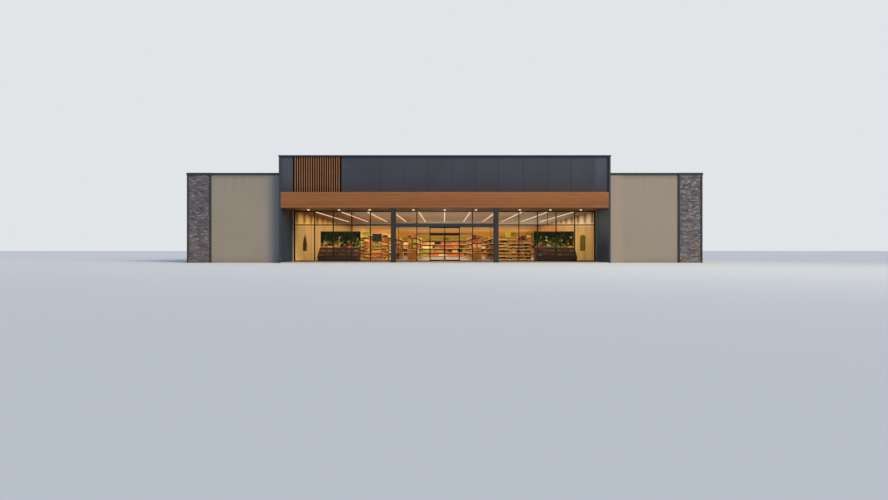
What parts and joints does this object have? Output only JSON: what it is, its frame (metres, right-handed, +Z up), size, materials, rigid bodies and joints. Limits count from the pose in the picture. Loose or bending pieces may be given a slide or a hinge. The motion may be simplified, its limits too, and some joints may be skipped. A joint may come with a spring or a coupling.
{
  "type": "supermarket building",
  "caption": "Single-storey supermarket: glazed front set back under a timber canopy, raised dark portal with slats, stone-clad end piers, furnished hall and parting sliding doors.",
  "frame": {"origin": "on the ground at the centre of the footprint, bounding box bottom centre", "axes": "+Z up, -Y out of the glazed front, +X to the right as seen from the front"},
  "size_m": [39.99, 34.06, 8.2],
  "materials": {
    "floor_concrete": "honed concrete",
    "stucco": "fine stucco",
    "inner_plaster": "smooth plaster",
    "stone_cladding": "split-face ledger stone",
    "dark_trim": "satin charcoal",
    "roof_membrane": "matt light grey membrane",
    "portal_metal": "matt anthracite sheet",
    "portal_coping_metal": "satin anthracite",
    "slat_backing": "dark stained board",
    "slat_timber": "oiled timber",
    "canopy_timber": "oiled timber boards",
    "soffit_timber": "dark timber boards",
    "light_lens": "glowing opal diffuser",
    "column_metal": "satin dark bronze",
    "dark_aluminium": "dark bronze anodised",
    "clear_glass": "clear",
    "track_aluminium": "mill finish",
    "guide_steel": "brushed",
    "ceiling_board": "warm matt",
    "lining_timber": "light timber panelling",
    "display_paint": "warm painted panel",
    "shelf_timber": "varnished",
    "stand_timber": "varnished",
    "green_board": "matt green"
  },
  "bodies": {
    "building": {"floor_slabs": "floor_concrete", "front_wall_left": "stucco", "front_wall_right": "stucco", "side_wall_left": "stucco", "side_wall_right": "stucco", "rear_wall": "stucco", "hall_wall_left": "inner_plaster", "hall_wall_right": "inner_plaster", "stone_pier_left": "stone_cladding", "stone_pier_right": "stone_cladding", "pier_trims": "dark_trim", "wing_coping": "dark_trim", "main_roof_deck": "roof_membrane", "front_roof_decks": "roof_membrane", "portal_fin_left": "portal_metal", "portal_fin_right": "portal_metal", "portal_rear_wall": "portal_metal", "portal_roof_deck": "roof_membrane", "portal_coping": "portal_coping_metal", "lintel_wall": "inner_plaster", "fascia_wall": "slat_backing", "fascia_sheets": "portal_metal", "timber_slats": "slat_timber", "canopy_beam": "canopy_timber", "canopy_soffit": "soffit_timber", "soffit_downlights": "light_lens", "portico_columns": "column_metal", "shopfront_frame_left": "dark_aluminium", "shopfront_frame_right": "dark_aluminium", "shopfront_glass_left": "clear_glass", "shopfront_glass_right": "clear_glass", "entrance_posts": "dark_aluminium", "entrance_rails": "dark_aluminium", "entrance_glass": "clear_glass", "door_track": "track_aluminium", "door_hood": "dark_aluminium", "door_guides": "guide_steel", "hall_ceiling": "ceiling_board", "ceiling_lights": "light_lens", "hall_linings": "lining_timber", "rear_display_wall": "display_paint", "shelving_rows": "shelf_timber", "produce_stands": "stand_timber", "display_boards": "green_board"},
    "door_left": {"door_leaf_left": "dark_aluminium", "door_glass_left": "clear_glass"},
    "door_right": {"door_leaf_right": "dark_aluminium", "door_glass_right": "clear_glass"}
  },
  "joints": [
    {"name": "door_right_slide", "type": "slide", "parent": "building", "child": "door_right", "axis": [1, 0, 0], "range_m": [0, 1]},
    {"name": "door_left_slide", "type": "slide", "parent": "building", "child": "door_left", "axis": [-1, 0, 0], "range_m": [0, 1]}
  ],
  "couplings": [
    {"joint": "door_left_slide", "follows": "door_right_slide", "ratio": 1}
  ]
}
